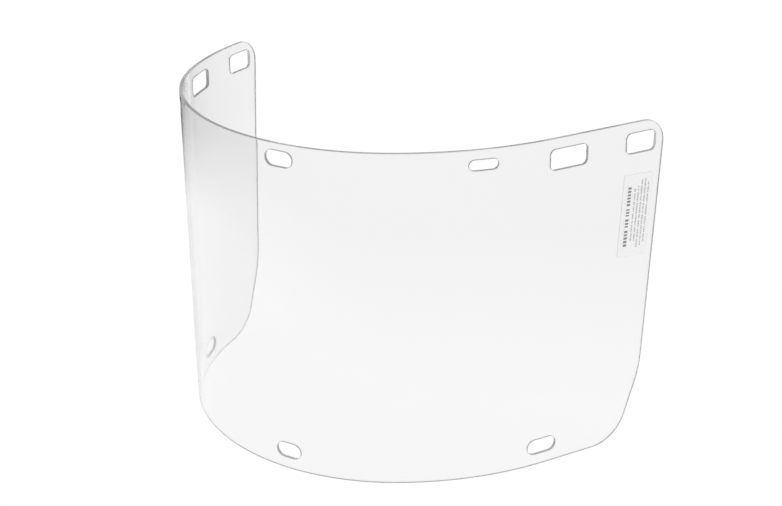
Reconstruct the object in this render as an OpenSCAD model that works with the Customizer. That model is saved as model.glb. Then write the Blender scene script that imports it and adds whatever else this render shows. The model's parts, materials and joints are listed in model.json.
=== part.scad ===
// Clear window of a face shield: one thin sheet, bent round the face, with the slots that
// hang it on a headgear and take a chin guard, and a small clear label near its right end.
// Millimetres. The origin is at the bottom edge, under the middle slots and in the middle
// of the sheet's thickness. The front faces -Y, +X is to the right of the front view and
// +Z is up. The sheet is worked out as a flat blank: a place on it is a distance along the
// blank from its centre line and a height.

/* [Sheet] */
// Height of the sheet, from its bottom edge to its top edge
sheet_h = 203; // [165:1:260]
// Length of the flat blank, end to end along its top edge
blank_l = 457; // [380:1:560]
// Thickness of the sheet
sheet_t = 2; // [0.8:0.1:3]
// How far each end edge leans in from top to bottom
end_taper = 9; // [0:0.5:16]

/* [Corners] */
// Radius of the two upper corners
upper_corner_r = 14; // [4:1:30]
// Height at which the end edges start to slope in towards the lower corners
slope_h = 46; // [36:1:80]
// How far that slope has come in at the bottom edge
slope_in = 12.5; // [4:0.5:20]
// Radius that eases the end edge into the slope
slope_start_r = 70; // [10:1:90]
// Radius between the slope and the bottom edge
lower_corner_r = 24; // [5:1:26]

/* [Bend] */
// Radius of the front, to the middle of the thickness
front_r = 128; // [110:1:180]
// Length of the front curve to the left of the centre line
front_left_l = 89; // [60:1:110]
// Length of the front curve to the right of the centre line
front_right_l = 65; // [45:1:80]
// Radius of the left shoulder
left_shoulder_r = 112; // [90:1:150]
// Length of the left shoulder
left_shoulder_l = 70; // [50:1:90]
// Radius of the left wing, which runs on from its shoulder to the end of the sheet
left_wing_r = 160; // [120:1:300]
// Radius of the right shoulder, after which the right wing is flat
right_shoulder_r = 178; // [140:1:220]
// Length of the right shoulder
right_shoulder_l = 90; // [70:1:108]

/* [Headgear slots] */
// Length of the round-ended slot in the middle
middle_slot_l = 17; // [10:0.5:24]
// Width of the middle slot
middle_slot_w = 9; // [5:0.5:12]
// Length of the narrower round-ended slot to each side of it
side_slot_l = 16.5; // [10:0.5:24]
// Width of the side slots
side_slot_w = 6; // [4:0.5:10]
// Depth of the middle of the round-ended slots below the top edge
round_slot_drop = 9; // [8:0.1:16]
// Length of the front square-cornered slot in each wing
front_slot_l = 24; // [14:0.5:30]
// Length of the rear square-cornered slot in each wing
rear_slot_l = 19.5; // [10:0.5:22]
// Width of the square-cornered slots
square_slot_w = 12; // [7:0.5:14]
// Corner radius of the square-cornered slots
square_slot_r = 3; // [1:0.5:3]
// Depth of the middle of the square-cornered slots below the top edge
square_slot_drop = 12.5; // [10:0.5:20]
// Middle of the rear slot to the end of the blank
rear_slot_in = 16; // [14:0.5:24]
// Middle of the rear slot to the middle of the front square-cornered slot
front_slot_pitch = 48; // [34:0.5:56]
// Middle of the front square-cornered slot to the middle of the side slot
side_slot_pitch = 51.5; // [34:0.5:54]

/* [Chin guard slots] */
// Length of the middle chin slot
chin_slot_l = 16; // [10:0.5:24]
// Length of the two side chin slots
chin_side_slot_l = 19; // [10:0.5:26]
// Width of the chin slots
chin_slot_w = 9.5; // [5:0.5:12]
// Height of the middle of the chin slots above the bottom edge
chin_slot_rise = 12; // [8:0.5:18]
// Middle of a side chin slot to the end of the blank
chin_side_slot_in = 75; // [60:1:90]

/* [Label] */
// Width of the label, along the sheet
label_w = 20; // [8:0.5:24]
// Height of the label
label_h = 50; // [20:1:60]
// Thickness of the label film
label_t = 0.15; // [0.1:0.05:0.5]
// Corner radius of the label
label_r = 1.5; // [0.5:0.5:3]
// Middle of the label to the end of the blank
label_in = 17.5; // [13:0.5:24]
// Depth of the middle of the label below the top edge
label_drop = 56; // [50:1:90]

/* [Hidden] */
$fn = 120;

half_l = blank_l / 2;
// The sheet is bent a little too long, and the end cuts trim it to the blank's length.
trim = 4;
// The bend is drawn in straight steps of about this length, 0.01 mm off the true arcs.
bend_step_l = 3;
// The end cuts are made square to the sheet at this distance from the end of the blank.
cut_stand = 12;
// How far a cutting tool runs past the edges it trims, and to each side of the sheet.
past = 10;
cut_reach = 20;
slot_reach = 6;

// Runs of the bend on each side of the centre line: [length, radius], radius 0 for flat.
RIGHT = [
    [front_right_l, front_r],
    [right_shoulder_l, right_shoulder_r],
    [half_l + trim - front_right_l - right_shoulder_l, 0]
];
LEFT = [
    [front_left_l, front_r],
    [left_shoulder_l, left_shoulder_r],
    [half_l + trim - front_left_l - left_shoulder_l, left_wing_r]
];

// Distances along the blank from its centre line
rear_slot_s = half_l - rear_slot_in;
front_slot_s = rear_slot_s - front_slot_pitch;
side_slot_s = front_slot_s - side_slot_pitch;
chin_side_slot_s = half_l - chin_side_slot_in;
label_s = half_l - label_in;

// Heights
round_slot_z = sheet_h - round_slot_drop;
square_slot_z = sheet_h - square_slot_drop;
label_z = sheet_h - label_drop;

// The end edge leans by this angle.
taper_angle = atan(end_taper / sheet_h);

// Angle, in degrees, that a run of this length and radius turns through
function turn(l, r) = r == 0 ? 0 : l / r * 180 / PI;

// Where a run that starts at pose [x, y, heading] has got to after length l
function after(pose, l, r) =
    let (h0 = pose.z, h1 = h0 + turn(l, r))
    r == 0
        ? [pose.x + l * cos(h0), pose.y + l * sin(h0), h0]
        : [pose.x + r * (sin(h1) - sin(h0)), pose.y + r * (cos(h0) - cos(h1)), h1];

// Pose at the start of run i
function start_of(runs, i) =
    i == 0 ? [0, 0, 0] : after(start_of(runs, i - 1), runs[i - 1][0], runs[i - 1][1]);

// Pose at distance s along the blank from its centre line
function pose_at(runs, s, i = 0) =
    i == len(runs) - 1 || s <= runs[i][0]
        ? after(start_of(runs, i), s, runs[i][1])
        : pose_at(runs, s - runs[i][0], i + 1);

function unit(v) = v / norm(v);

// Mirrors a pose across the centre line
function mirrored(pose) = [-pose.x, pose.y, -pose.z];

// Poses along the middle of the sheet's thickness, from its left end to its right end
bend_steps = ceil((half_l + trim) / bend_step_l);
bend_step = (half_l + trim) / bend_steps;
bend_line = concat(
    [for (i = [bend_steps:-1:1]) mirrored(pose_at(LEFT, i * bend_step))],
    [for (i = [0:bend_steps]) pose_at(RIGHT, i * bend_step)]
);

// Point off a pose, square to the sheet and towards its inner face
function off(pose, distance) =
    [pose.x - distance * sin(pose.z), pose.y + distance * cos(pose.z)];

// The bent sheet, full height, with its ends and slots still uncut
module bent_blank() {
    last = len(bend_line) - 1;
    linear_extrude(sheet_h) polygon(concat(
        [for (pose = bend_line) off(pose, -sheet_t / 2)],
        [for (i = [last:-1:0]) off(bend_line[i], sheet_t / 2)]
    ));
}

// Stands its 2D children on the sheet at distance s and height z, through both faces
module through(runs, s, z, reach) {
    pose = pose_at(runs, s);
    translate([pose.x, pose.y, z]) rotate([90, 0, pose.z])
        linear_extrude(2 * reach, center = true) children();
}

module round_slot(l, w) {
    square([l - w, w], center = true);
    for (side = [-1, 1]) translate([side * (l - w) / 2, 0]) circle(d = w);
}

module square_slot(l, w, r) {
    square([l - 2 * r, w], center = true);
    square([l, w - 2 * r], center = true);
    for (x = [-1, 1], y = [-1, 1]) translate([x * (l / 2 - r), y * (w / 2 - r)]) circle(r);
}

// Waste outside a rounded corner at p, between the edges that run to a and to b
module corner_waste(p, a, b, r) {
    to_a = unit(a - p);
    to_b = unit(b - p);
    half_angle = acos(to_a * to_b) / 2;
    centre = p + unit(to_a + to_b) * r / sin(half_angle);
    tangent_l = r / tan(half_angle);
    difference() {
        polygon([centre, p + to_a * tangent_l, p + unit(p - centre), p + to_b * tangent_l]);
        translate(centre) circle(r);
    }
}

// Waste beyond the shaped end of the blank, with x = 0 at the end of its top edge
module end_waste() {
    top = [0, sheet_h];
    bend = [-end_taper * (1 - slope_h / sheet_h), slope_h];
    foot = [-end_taper - slope_in, 0];
    polygon([
        top, bend, foot, foot - [0, past], [past, -past], [past, sheet_h + past],
        top + [0, past]
    ]);
    corner_waste(top, [-blank_l, sheet_h], bend, upper_corner_r);
    corner_waste(bend, top, foot, slope_start_r);
    corner_waste(foot, bend, [-blank_l, 0], lower_corner_r);
}

// End cut and slots of one side
module side_cuts(runs) {
    through(runs, half_l - cut_stand, 0, cut_reach)
        translate([cut_stand, 0]) end_waste();
    through(runs, rear_slot_s, square_slot_z, slot_reach)
        square_slot(rear_slot_l, square_slot_w, square_slot_r);
    through(runs, front_slot_s, square_slot_z, slot_reach)
        square_slot(front_slot_l, square_slot_w, square_slot_r);
    through(runs, side_slot_s, round_slot_z, slot_reach)
        round_slot(side_slot_l, side_slot_w);
    through(runs, chin_side_slot_s, chin_slot_rise, slot_reach)
        round_slot(chin_side_slot_l, chin_slot_w);
}

// The clear sheet with its shaped ends and ten slots
module window() {
    color("lightgray", 0.4) difference() {
        bent_blank();
        side_cuts(RIGHT);
        mirror([1, 0, 0]) side_cuts(LEFT);
        through(RIGHT, 0, round_slot_z, slot_reach) round_slot(middle_slot_l, middle_slot_w);
        through(RIGHT, 0, chin_slot_rise, slot_reach) round_slot(chin_slot_l, chin_slot_w);
    }
}

// The label film, stuck to the outer face of the flat right wing, in line with its end edge
module marking_label() {
    pose = pose_at(RIGHT, label_s);
    color("whitesmoke", 0.8) translate([pose.x, pose.y, label_z])
        rotate([90, 0, pose.z]) translate([0, 0, sheet_t / 2]) linear_extrude(label_t)
        rotate(-taper_angle) square_slot(label_w, label_h, label_r);
}

window();
marking_label();
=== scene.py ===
"""Clear window of a face shield: the polycarbonate sheet, its marking label and a studio stage.

Everything is in metres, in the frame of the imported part: the sheet stands on its bottom
edge, its front faces -Y, +X is to the right of the front view and +Z is up.
"""

import json
import random
from collections import namedtuple
from math import pi, radians

import bpy
from bpy.props import FloatProperty, FloatVectorProperty, IntProperty, PointerProperty
from mathutils import Matrix, Vector

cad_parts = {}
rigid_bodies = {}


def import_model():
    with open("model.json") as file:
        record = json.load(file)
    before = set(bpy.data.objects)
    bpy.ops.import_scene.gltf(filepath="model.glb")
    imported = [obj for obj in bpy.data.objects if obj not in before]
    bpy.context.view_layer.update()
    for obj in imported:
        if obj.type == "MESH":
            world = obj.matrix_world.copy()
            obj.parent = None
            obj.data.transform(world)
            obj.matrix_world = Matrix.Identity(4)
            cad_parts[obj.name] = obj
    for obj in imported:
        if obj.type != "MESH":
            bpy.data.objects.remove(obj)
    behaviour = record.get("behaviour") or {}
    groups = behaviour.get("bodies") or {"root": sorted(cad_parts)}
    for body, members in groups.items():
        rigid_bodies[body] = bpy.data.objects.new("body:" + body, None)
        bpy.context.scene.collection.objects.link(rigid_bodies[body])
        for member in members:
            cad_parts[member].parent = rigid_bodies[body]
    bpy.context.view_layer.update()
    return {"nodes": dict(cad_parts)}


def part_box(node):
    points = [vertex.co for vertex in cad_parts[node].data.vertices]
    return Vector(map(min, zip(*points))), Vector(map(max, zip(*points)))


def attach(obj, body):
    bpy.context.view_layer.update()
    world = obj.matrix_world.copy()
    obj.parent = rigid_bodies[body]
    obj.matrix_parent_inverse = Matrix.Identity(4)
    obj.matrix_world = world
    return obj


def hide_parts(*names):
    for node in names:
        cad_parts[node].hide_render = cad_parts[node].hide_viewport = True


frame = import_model()

bl_info = {
    "name": "Face shield window",
    "version": (1, 0, 0),
    "blender": (4, 5, 0),
    "location": "3D View > Sidebar > Face Shield",
    "description": "Makes a clear face shield window, its marking label and a studio stage",
    "category": "Object",
}

MM = 0.001

POLYCARBONATE_IOR = 1.586
# A colour Mix node's own sockets: its two colours, and its result
MIX_FIRST, MIX_SECOND, MIX_RESULT = 6, 7, 2

# Corners of a frame node's loose triangles that are closer than this are one corner.
WELD = 0.002 * MM
# Neighbouring faces that turn by less than this are one flat face.
FLAT_ANGLE = radians(0.2)
# A polished side and a cut edge meet at more than this.
CUT_ANGLE = radians(40)
# The strips of the bend and the facets of a round slot turn by less than this, and are shaded
# smooth. The facets of a broken edge turn by more.
SMOOTH_ANGLE = radians(12)
# Every slot lies within this distance of the sheet's top or bottom edge.
SLOT_BAND = 30 * MM
# Width of the strips that the bend is drawn in
BEND_STRIP = 3 * MM

# How far the film is sunk into the sheet, and the print into the film, so that no air and no
# shared face lies between them.
FILM_SINK = 0.02 * MM
PRINT_SINK = 0.005 * MM
PRINT_THICKNESS = 0.015 * MM
# A row of print: its place along the sheet and its width, the length of a block and of the gap
# after it, and where the row starts and ends up the film, from the film's middle.
Row = namedtuple("Row", "along width length gap low high")
# Place of the first fine row, the step to the next one, and where each of them starts and ends,
# in millimetres from the film's middle
FIRST_FINE_ROW = -1.6
FINE_ROW_STEP = 2.25
FINE_ROW_ENDS = ((-15.8, 16.7), (-15.9, 17.7), (-20.2, 21.2), (-19.2, 21.2), (-17.4, 19.2))
# Fewest and most blocks in a group
GROUP_SIZES = (2, 7)

# Width of the table and of the card over it, and their heights, both just under the sheet
TABLE_SIZE = 14
TABLE_Z = -0.6 * MM
CARD_Z = -0.3 * MM
# Middle of the card's bright oval, and how much it is squeezed along each axis
OVAL_MIDDLE = (-0.12, 0.08, 0.0)
OVAL_SQUEEZE = (0.85, 1.1, 1.0)
# Where the camera looks, how it is rolled, and its lens and sensor in millimetres
CAMERA_AIM = Vector((0.0913, -0.0389, 0.1738))
CAMERA_ROLL = radians(-0.36)
LENS = 72.93
SENSOR = 36


# ---------------------------------------------------------------------------
# Colours and nodes
# ---------------------------------------------------------------------------


def linear(hex_colour):
    """Linear RGB of an sRGB hex colour such as "F4F5F5"."""
    parts = [int(hex_colour[i : i + 2], 16) / 255 for i in (0, 2, 4)]
    return tuple(c / 12.92 if c <= 0.04045 else ((c + 0.055) / 1.055) ** 2.4 for c in parts)


def rgba(colour, share=1.0):
    """A colour with full alpha, made this many times as bright."""
    return (*(min(1.0, c * share) for c in colour), 1.0)


def add_node(tree, kind, inputs=None, **settings):
    """Adds a node, sets its properties, and sets or links its inputs by name or number."""
    node = tree.nodes.new(kind)
    for name, value in settings.items():
        setattr(node, name, value)
    for key, value in (inputs or {}).items():
        if isinstance(value, bpy.types.NodeSocket):
            tree.links.new(value, node.inputs[key])
        else:
            node.inputs[key].default_value = value
    return node


def new_material(name):
    """An empty node material, and its node tree."""
    material = bpy.data.materials.new(name)
    material.use_nodes = True
    material.node_tree.nodes.clear()
    return material, material.node_tree


# ---------------------------------------------------------------------------
# Materials
# ---------------------------------------------------------------------------


def polished_polycarbonate(settings):
    """Extruded polycarbonate sheet with press-polished faces.

    It gives a colourless glassy sheet that darkens where it is seen aslant, with reflections
    that wander a little, because an extruded sheet is never quite flat.
    """
    material, tree = new_material("polycarbonate_press_polished")
    place = add_node(tree, "ShaderNodeTexCoord").outputs["Object"]
    # Draw lines of the extruder run along the sheet, about 25 mm apart and 80 mm long.
    drawn = add_node(tree, "ShaderNodeMapping", {"Vector": place, "Scale": (12, 12, 40)})
    wave = add_node(tree, "ShaderNodeTexNoise", {
        "Vector": drawn.outputs["Vector"], "Scale": 1.0, "Detail": 2.0, "Roughness": 0.4})
    # Orange peel of the polishing rolls, about 3 mm across.
    peel = add_node(tree, "ShaderNodeTexNoise", {"Vector": place, "Scale": 330.0, "Detail": 1.0})
    wavy = add_node(tree, "ShaderNodeBump", {
        "Height": wave.outputs["Fac"], "Strength": 1.0, "Distance": 0.02 * MM})
    surface = add_node(tree, "ShaderNodeBump", {
        "Height": peel.outputs["Fac"], "Strength": 1.0, "Distance": 0.0015 * MM,
        "Normal": wavy.outputs["Normal"]})
    # Handling leaves faint dull smears, 20 to 60 mm across.
    smear = add_node(tree, "ShaderNodeTexNoise", {"Vector": place, "Scale": 26.0, "Detail": 3.0})
    haze = add_node(tree, "ShaderNodeMapRange", {
        "Value": smear.outputs["Fac"], "From Min": 0.45, "From Max": 0.75,
        "To Min": 0.012, "To Max": 0.05})
    shader = add_node(tree, "ShaderNodeBsdfPrincipled", {
        "Base Color": rgba(settings.tint),
        "Roughness": haze.outputs["Result"],
        "IOR": POLYCARBONATE_IOR,
        "Transmission Weight": 1.0,
        "Normal": surface.outputs["Normal"]})
    add_node(tree, "ShaderNodeOutputMaterial", {"Surface": shader.outputs["BSDF"]})
    return material


def cut_polycarbonate(settings):
    """Polycarbonate edge as the die left it.

    It gives the grey, frosted line that draws the outline of the sheet and of each slot. Half
    of the light passes through it, so that it is neither black nor paper white.
    """
    material, tree = new_material("polycarbonate_die_cut_edge")
    place = add_node(tree, "ShaderNodeTexCoord").outputs["Object"]
    # The die drags fine marks across the thickness, about 0.4 mm apart along the edge.
    drag = add_node(tree, "ShaderNodeTexNoise", {"Vector": place, "Scale": 2500.0, "Detail": 2.0})
    tone = add_node(tree, "ShaderNodeMix", {
        "Factor": drag.outputs["Fac"],
        MIX_FIRST: rgba(settings.edge, 0.82),
        MIX_SECOND: rgba(settings.edge, 1.18)}, data_type="RGBA")
    frosted = add_node(tree, "ShaderNodeBump", {
        "Height": drag.outputs["Fac"], "Strength": 0.5, "Distance": 0.02 * MM})
    shader = add_node(tree, "ShaderNodeBsdfPrincipled", {
        "Base Color": tone.outputs[MIX_RESULT],
        "Roughness": 0.5,
        "IOR": POLYCARBONATE_IOR,
        "Transmission Weight": 0.5,
        "Normal": frosted.outputs["Normal"]})
    add_node(tree, "ShaderNodeOutputMaterial", {"Surface": shader.outputs["BSDF"]})
    return material


def label_film_material(settings):
    """Clear polyester film with a satin top coat, stuck down with clear adhesive.

    It gives a rectangle that is only just duller than the bare sheet round it.
    """
    material, tree = new_material("polyester_film_satin")
    place = add_node(tree, "ShaderNodeTexCoord").outputs["Object"]
    # Adhesive wets the sheet in patches of about 2 mm.
    patch = add_node(tree, "ShaderNodeTexNoise", {"Vector": place, "Scale": 500.0, "Detail": 2.0})
    satin = add_node(tree, "ShaderNodeMapRange", {
        "Value": patch.outputs["Fac"], "From Min": 0.3, "From Max": 0.7,
        "To Min": 0.04, "To Max": 0.10})
    shader = add_node(tree, "ShaderNodeBsdfPrincipled", {
        "Base Color": rgba(settings.film),
        "Roughness": satin.outputs["Result"],
        "IOR": 1.49,
        "Transmission Weight": 1.0})
    add_node(tree, "ShaderNodeOutputMaterial", {"Surface": shader.outputs["BSDF"]})
    return material


def print_ink(settings):
    """Grey screen-printing ink.

    It gives matt marks whose tone is a little uneven, as ink lies on film.
    """
    material, tree = new_material("screen_printing_ink")
    place = add_node(tree, "ShaderNodeTexCoord").outputs["Object"]
    # Ink pools in spots of about 0.3 mm.
    spot = add_node(tree, "ShaderNodeTexNoise", {"Vector": place, "Scale": 3300.0, "Detail": 1.0})
    tone = add_node(tree, "ShaderNodeMix", {
        "Factor": spot.outputs["Fac"],
        MIX_FIRST: rgba(settings.ink, 0.8),
        MIX_SECOND: rgba(settings.ink, 1.2)}, data_type="RGBA")
    shader = add_node(tree, "ShaderNodeBsdfPrincipled", {
        "Base Color": tone.outputs[MIX_RESULT], "Roughness": 0.55, "IOR": 1.5})
    add_node(tree, "ShaderNodeOutputMaterial", {"Surface": shader.outputs["BSDF"]})
    return material


# ---------------------------------------------------------------------------
# Modelling helpers
# ---------------------------------------------------------------------------


def pick(*pieces):
    """Selects only these objects, and makes the first one active."""
    bpy.ops.object.select_all(action="DESELECT")
    for piece in pieces:
        piece.select_set(True)
    bpy.context.view_layer.objects.active = pieces[0]


def node_copy(node, name):
    """A new object with a copy of a frame node's mesh, merged into whole flat faces."""
    piece = bpy.data.objects.new(name, frame["nodes"][node].data.copy())
    bpy.context.scene.collection.objects.link(piece)
    piece.data.name = name
    piece.data.materials.clear()
    pick(piece)
    bpy.ops.mesh.customdata_custom_splitnormals_clear()
    bpy.ops.object.mode_set(mode="EDIT")
    bpy.ops.mesh.select_all(action="SELECT")
    bpy.ops.mesh.remove_doubles(threshold=WELD)
    bpy.ops.mesh.dissolve_limited(angle_limit=FLAT_ANGLE)
    bpy.ops.object.mode_set(mode="OBJECT")
    return piece


# ---------------------------------------------------------------------------
# Sizes and colours that a user may change
# ---------------------------------------------------------------------------


class FaceShieldWindowSettings(bpy.types.PropertyGroup):
    edge_break: FloatProperty(
        name="Edge break", description="Width of the small bevel along every cut edge",
        default=0.3 * MM, min=0.05 * MM, max=0.4 * MM, precision=5, unit="LENGTH")
    tint: FloatVectorProperty(
        name="Sheet tint", description="Colour that light keeps on its way through the sheet",
        default=linear("F6F6F6"), min=0.0, max=1.0, size=3, subtype="COLOR")
    edge: FloatVectorProperty(
        name="Cut edge", description="Colour of the frosted cut edges",
        default=linear("DCDEDF"), min=0.0, max=1.0, size=3, subtype="COLOR")


class FaceShieldLabelSettings(bpy.types.PropertyGroup):
    bold_width: FloatProperty(
        name="Bold row width", description="Width of the heavy row of marks",
        default=2.4 * MM, min=0.5 * MM, max=5 * MM, precision=5, unit="LENGTH")
    fine_rows: IntProperty(
        name="Fine rows", description="Number of fine rows of marks beside the heavy one",
        default=5, min=0, max=5)
    film: FloatVectorProperty(
        name="Film", description="Colour that light keeps on its way through the film",
        default=linear("FCFCFC"), min=0.0, max=1.0, size=3, subtype="COLOR")
    ink: FloatVectorProperty(
        name="Ink", description="Colour of the printed marks",
        default=linear("8E9092"), min=0.0, max=1.0, size=3, subtype="COLOR")


class FaceShieldStageSettings(bpy.types.PropertyGroup):
    floor: FloatVectorProperty(
        name="Table", description="Colour of the table",
        default=linear("FFFFFF"), min=0.0, max=1.0, size=3, subtype="COLOR")
    view_azimuth: FloatProperty(
        name="Azimuth", description="Angle of the camera to the right of the front",
        default=radians(29.69), subtype="ANGLE")
    view_elevation: FloatProperty(
        name="Elevation", description="Angle of the camera above the table",
        default=radians(24.43), subtype="ANGLE")
    view_distance: FloatProperty(
        name="Distance", description="Distance of the camera from the point it looks at",
        default=0.7865, min=0.1, unit="LENGTH")


# ---------------------------------------------------------------------------
# Operators
# ---------------------------------------------------------------------------


class FACESHIELD_OT_make_window(bpy.types.Operator):
    """Makes the clear sheet, with polished faces and broken, frosted edges"""

    bl_idname = "face_shield.make_window"
    bl_label = "Make the window"

    def execute(self, context):
        settings = context.scene.face_shield_window
        piece = node_copy("window", "clear_window")
        self.cross_cut(piece)
        piece.data.materials.append(polished_polycarbonate(settings))
        piece.data.materials.append(cut_polycarbonate(settings))
        self.mark_cut_edges(piece)
        self.break_edges(settings)
        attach(piece, "root")
        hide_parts("window")
        return {"FINISHED"}

    def cross_cut(self, piece):
        """Cuts the faces past the slots, and a strip's width into the flat wing.

        The plain middle of the sheet then has only upright strips, and the shading of the bend
        ends in the wing's first strip.
        """
        low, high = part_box("window")
        # The flat wing is the largest face that looks to the right.
        wing = max((p for p in piece.data.polygons if p.normal.x > 0.5), key=lambda p: p.area)
        along = Vector((-wing.normal.y, wing.normal.x, 0)).normalized()
        corners = [piece.data.vertices[i].co for i in wing.vertices]
        start = min(corners, key=lambda corner: corner.dot(along)) + along * BEND_STRIP
        for place, across in (
            (Vector((0, 0, low.z + SLOT_BAND)), Vector((0, 0, 1))),
            (Vector((0, 0, high.z - SLOT_BAND)), Vector((0, 0, 1))),
            (start, along),
        ):
            bpy.ops.object.mode_set(mode="EDIT")
            bpy.ops.mesh.select_all(action="SELECT")
            bpy.ops.mesh.bisect(plane_co=place, plane_no=across)
            bpy.ops.object.mode_set(mode="OBJECT")

    def mark_cut_edges(self, piece):
        """Gives every face outside the two polished sides the material of a cut edge."""
        bpy.ops.object.mode_set(mode="EDIT")
        bpy.ops.mesh.select_mode(type="EDGE")
        bpy.ops.mesh.select_all(action="DESELECT")
        bpy.ops.mesh.edges_select_sharp(sharpness=CUT_ANGLE)
        bpy.ops.mesh.mark_sharp()
        bpy.ops.mesh.select_mode(type="FACE")
        bpy.ops.mesh.select_all(action="DESELECT")
        bpy.ops.object.mode_set(mode="OBJECT")
        # The largest face that looks almost straight forwards, or backwards, starts each side.
        for facing in (-1, 1):
            square_on = [p for p in piece.data.polygons if p.normal.y * facing > 0.95]
            if not square_on:
                raise RuntimeError("The window has no polished face at its front")
            max(square_on, key=lambda p: p.area).select = True
        bpy.ops.object.mode_set(mode="EDIT")
        bpy.ops.mesh.select_linked(delimit={"SHARP"})
        bpy.ops.mesh.select_all(action="INVERT")
        piece.active_material_index = 1
        bpy.ops.object.material_slot_assign()
        bpy.ops.object.mode_set(mode="OBJECT")
        cut = sum(1 for p in piece.data.polygons if p.material_index == 1)
        if not 0 < cut < len(piece.data.polygons):
            raise RuntimeError("The cut edges could not be told from the polished faces")

    def break_edges(self, settings):
        """Takes the sharpness off the rims, as the die leaves them."""
        bpy.ops.object.mode_set(mode="EDIT")
        bpy.ops.mesh.region_to_loop()
        bpy.ops.mesh.bevel(
            offset=settings.edge_break, segments=2, affect="EDGES", clamp_overlap=False, material=1)
        bpy.ops.mesh.select_mode(type="EDGE")
        bpy.ops.mesh.select_all(action="SELECT")
        bpy.ops.mesh.mark_sharp(clear=True)
        bpy.ops.object.mode_set(mode="OBJECT")
        bpy.ops.object.shade_smooth_by_angle(angle=SMOOTH_ANGLE)


class FACESHIELD_OT_make_label(bpy.types.Operator):
    """Makes the marking label: a clear film with rows of plain printed marks"""

    bl_idname = "face_shield.make_label"
    bl_label = "Make the label"

    def execute(self, context):
        settings = context.scene.face_shield_label
        film = node_copy("marking_label", "label_film")
        film.data.materials.append(label_film_material(settings))
        place = self.outer_face(film)
        self.press_down(film, place)
        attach(film, "root")
        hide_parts("marking_label")

        prints = self.make_print(settings, place)
        prints.data.materials.append(print_ink(settings))
        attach(prints, "root")
        return {"FINISHED"}

    def outer_face(self, film):
        """Middle of the film's outer face, with X along the sheet, Y up the film and Z outwards."""
        mesh = film.data
        out = max((p for p in mesh.polygons if p.normal.x > 0), key=lambda p: p.area)
        ends = [[mesh.vertices[i].co for i in edge.vertices] for edge in mesh.edges]
        side = max((b - a for a, b in ends), key=lambda line: line.length)
        if side.z < 0:
            side.negate()
        up, outwards = side.normalized(), out.normal.normalized()
        place = Matrix((up.cross(outwards), up, outwards)).transposed().to_4x4()
        corners = [mesh.vertices[i].co for i in out.vertices]
        place.translation = sum(corners, Vector()) / len(corners)
        return place

    def press_down(self, film, place):
        """Sinks the back of the film into the sheet."""
        outwards = place.col[2].to_3d()
        pick(film)
        bpy.ops.object.mode_set(mode="EDIT")
        bpy.ops.mesh.select_mode(type="FACE")
        bpy.ops.mesh.select_all(action="DESELECT")
        bpy.ops.object.mode_set(mode="OBJECT")
        for face in film.data.polygons:
            face.select = face.normal.dot(outwards) < -0.99
        bpy.ops.object.mode_set(mode="EDIT")
        bpy.ops.transform.translate(value=-outwards * FILM_SINK)
        bpy.ops.object.mode_set(mode="OBJECT")

    def make_block(self):
        """One printed block, a millimetre square with rounded corners, lying in the XY plane."""
        bpy.ops.object.select_all(action="DESELECT")
        bpy.ops.mesh.primitive_plane_add(size=1 * MM)
        block = bpy.context.object
        bpy.ops.object.mode_set(mode="EDIT")
        bpy.ops.mesh.select_all(action="SELECT")
        bpy.ops.mesh.bevel(offset=0.2 * MM, segments=2, affect="VERTICES")
        bpy.ops.mesh.select_all(action="SELECT")
        bpy.ops.mesh.extrude_region_move(TRANSFORM_OT_translate={"value": (0, 0, PRINT_THICKNESS)})
        bpy.ops.mesh.select_all(action="SELECT")
        bpy.ops.mesh.normals_make_consistent(inside=False)
        bpy.ops.object.mode_set(mode="OBJECT")
        return block

    def make_print(self, settings, place):
        """A heavy row of blocks and fine rows beside it, running up the film.

        The blocks stand in groups, as words do, but they are plain and spell nothing.
        """
        rng = random.Random(11)
        block = self.make_block()
        copies = []
        rows = [Row(
            along=-5.35 * MM, width=settings.bold_width, length=1.2 * MM, gap=0.75 * MM,
            low=-18.8 * MM, high=17.2 * MM)]
        for i, (low, high) in enumerate(FINE_ROW_ENDS[: settings.fine_rows]):
            rows.append(Row(
                along=(FIRST_FINE_ROW + FINE_ROW_STEP * i) * MM, width=0.95 * MM,
                length=0.5 * MM, gap=0.45 * MM, low=low * MM, high=high * MM))
        for row in rows:
            up = row.low
            left_in_group = rng.randint(*GROUP_SIZES)
            while up < row.high:
                size = row.length * rng.uniform(0.7, 1.3)
                copy = bpy.data.objects.new("mark", block.data.copy())
                bpy.context.scene.collection.objects.link(copy)
                copy.location = (row.along, up + size / 2, -PRINT_SINK)
                copy.scale = (row.width / MM, size / MM, 1)
                copies.append(copy)
                left_in_group -= 1
                up += size + row.gap
                if left_in_group == 0:
                    up += 1.5 * row.gap
                    left_in_group = rng.randint(*GROUP_SIZES)
        bpy.data.objects.remove(block)
        pick(*copies)
        bpy.ops.object.transform_apply(location=True, rotation=True, scale=True)
        bpy.ops.object.join()
        prints = bpy.context.object
        prints.name = "label_print"
        prints.data.name = "label_print"
        prints.matrix_world = place
        bpy.ops.object.transform_apply(location=True, rotation=True, scale=True)
        return prints


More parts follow.
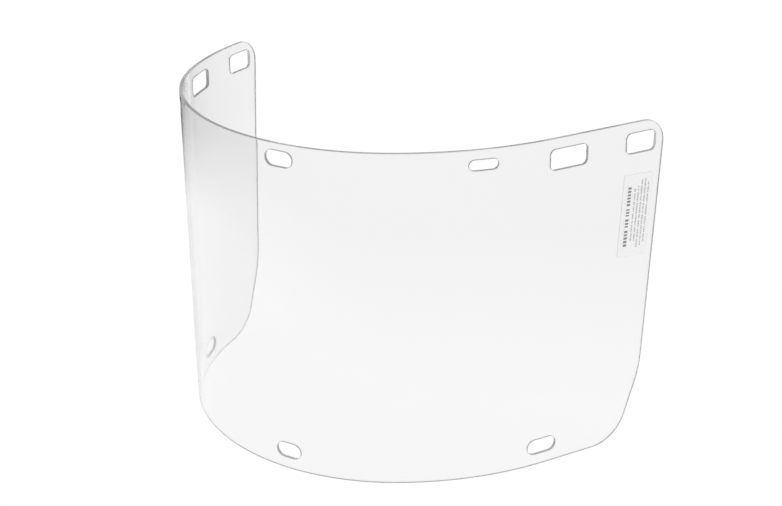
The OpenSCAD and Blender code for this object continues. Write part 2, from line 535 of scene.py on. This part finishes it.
class FACESHIELD_OT_make_stage(bpy.types.Operator):
    """Makes the glowing table, the card over it, the light of the room and the camera"""

    bl_idname = "face_shield.make_stage"
    bl_label = "Make the stage"

    def execute(self, context):
        settings = context.scene.face_shield_stage
        self.make_floor(settings)
        self.make_shade_card()
        self.make_room(context.scene)
        self.make_camera(context.scene, settings)
        context.scene.view_settings.view_transform = "Standard"
        return {"FINISHED"}

    def make_floor(self, settings):
        """A back-lit white table: opal acrylic, bright and without a hard shadow."""
        bpy.ops.object.select_all(action="DESELECT")
        bpy.ops.mesh.primitive_plane_add(size=TABLE_SIZE, location=(0, 0, TABLE_Z))
        floor = bpy.context.object
        floor.name = "table"
        material, tree = new_material("opal_acrylic_back_lit")
        # It glows nearly white, and its top gives back an eighth of the light that falls on it.
        glow = add_node(tree, "ShaderNodeEmission", {
            "Color": rgba(settings.floor), "Strength": 0.94})
        top = add_node(tree, "ShaderNodeBsdfDiffuse", {"Color": rgba(settings.floor, 0.12)})
        both = add_node(tree, "ShaderNodeAddShader", {
            0: glow.outputs["Emission"], 1: top.outputs["BSDF"]})
        add_node(tree, "ShaderNodeOutputMaterial", {"Surface": both.outputs["Shader"]})
        floor.data.materials.append(material)

    def make_shade_card(self):
        """A card that only mirror reflections see.

        It is white in an oval under the sheet and fades to black outside, so that the sheet
        reflects something darker than the table, and shows against it.
        """
        bpy.ops.object.select_all(action="DESELECT")
        bpy.ops.mesh.primitive_plane_add(size=TABLE_SIZE, location=(0, 0, CARD_Z))
        card = bpy.context.object
        card.name = "shade_card"
        card.visible_camera = False
        card.visible_diffuse = False
        card.visible_transmission = False
        card.visible_volume_scatter = False
        card.visible_shadow = False
        material, tree = new_material("grey_studio_card")
        place = add_node(tree, "ShaderNodeTexCoord").outputs["Object"]
        from_middle = add_node(tree, "ShaderNodeVectorMath", {
            0: place, 1: OVAL_MIDDLE}, operation="SUBTRACT")
        oval = add_node(tree, "ShaderNodeVectorMath", {
            0: from_middle.outputs["Vector"], 1: OVAL_SQUEEZE}, operation="MULTIPLY")
        distance = add_node(tree, "ShaderNodeVectorMath", {
            0: oval.outputs["Vector"]}, operation="LENGTH")
        tone = add_node(tree, "ShaderNodeMapRange", {
            "Value": distance.outputs["Value"], "From Min": 0.27, "From Max": 0.50,
            "To Min": 1.0, "To Max": 0.0})
        glow = add_node(tree, "ShaderNodeEmission", {"Strength": tone.outputs["Result"]})
        add_node(tree, "ShaderNodeOutputMaterial", {"Surface": glow.outputs["Emission"]})
        card.data.materials.append(material)

    def make_room(self, scene):
        """The light of the room: a bright band round the horizon, and dimmer above it."""
        world = bpy.data.worlds.new("studio")
        world.use_nodes = True
        scene.world = world
        tree = world.node_tree
        tree.nodes.clear()
        way = add_node(tree, "ShaderNodeTexCoord").outputs["Generated"]
        height = add_node(tree, "ShaderNodeSeparateXYZ", {"Vector": way})
        room = add_node(tree, "ShaderNodeMapRange", {
            "Value": height.outputs["Z"], "From Min": 0.05, "From Max": 0.35,
            "To Min": 1.0, "To Max": 0.66}, interpolation_type="SMOOTHSTEP")
        sky = add_node(tree, "ShaderNodeBackground", {
            "Color": rgba((1.0, 1.0, 1.0)), "Strength": room.outputs["Result"]})
        add_node(tree, "ShaderNodeOutputWorld", {"Surface": sky.outputs["Background"]})

    def make_camera(self, scene, settings):
        azimuth, elevation = settings.view_azimuth, settings.view_elevation
        turn = (Matrix.Rotation(azimuth, 4, "Z") @ Matrix.Rotation(pi / 2 - elevation, 4, "X")
                @ Matrix.Rotation(CAMERA_ROLL, 4, "Z"))
        back = (turn.to_3x3() @ Vector((0, 0, 1))) * settings.view_distance
        data = bpy.data.cameras.new("camera")
        data.lens = LENS
        data.sensor_width = SENSOR
        data.clip_start = 0.01
        camera = bpy.data.objects.new("camera", data)
        scene.collection.objects.link(camera)
        camera.location = CAMERA_AIM + back
        camera.rotation_euler = turn.to_euler()
        scene.camera = camera


class FACESHIELD_PT_panel(bpy.types.Panel):
    """Lists the sizes and colours of each piece, over the button that makes it"""

    bl_idname = "FACESHIELD_PT_panel"
    bl_label = "Face shield window"
    bl_space_type = "VIEW_3D"
    bl_region_type = "UI"
    bl_category = "Face Shield"

    def draw(self, context):
        for group, operator in (
            ("face_shield_window", FACESHIELD_OT_make_window),
            ("face_shield_label", FACESHIELD_OT_make_label),
            ("face_shield_stage", FACESHIELD_OT_make_stage),
        ):
            settings = getattr(context.scene, group)
            box = self.layout.box()
            for name in settings.__annotations__:
                box.prop(settings, name)
            box.operator(operator.bl_idname)


GROUPS = {
    "face_shield_window": FaceShieldWindowSettings,
    "face_shield_label": FaceShieldLabelSettings,
    "face_shield_stage": FaceShieldStageSettings,
}
CLASSES = (
    *GROUPS.values(),
    FACESHIELD_OT_make_window,
    FACESHIELD_OT_make_label,
    FACESHIELD_OT_make_stage,
    FACESHIELD_PT_panel,
)


def register():
    for cls in CLASSES:
        bpy.utils.register_class(cls)
    for name, group in GROUPS.items():
        setattr(bpy.types.Scene, name, PointerProperty(type=group))


def unregister():
    for name in GROUPS:
        delattr(bpy.types.Scene, name)
    for cls in reversed(CLASSES):
        bpy.utils.unregister_class(cls)


def main():
    register()
    bpy.ops.face_shield.make_window()
    bpy.ops.face_shield.make_label()
    bpy.ops.face_shield.make_stage()


if __name__ == "__main__":
    main()
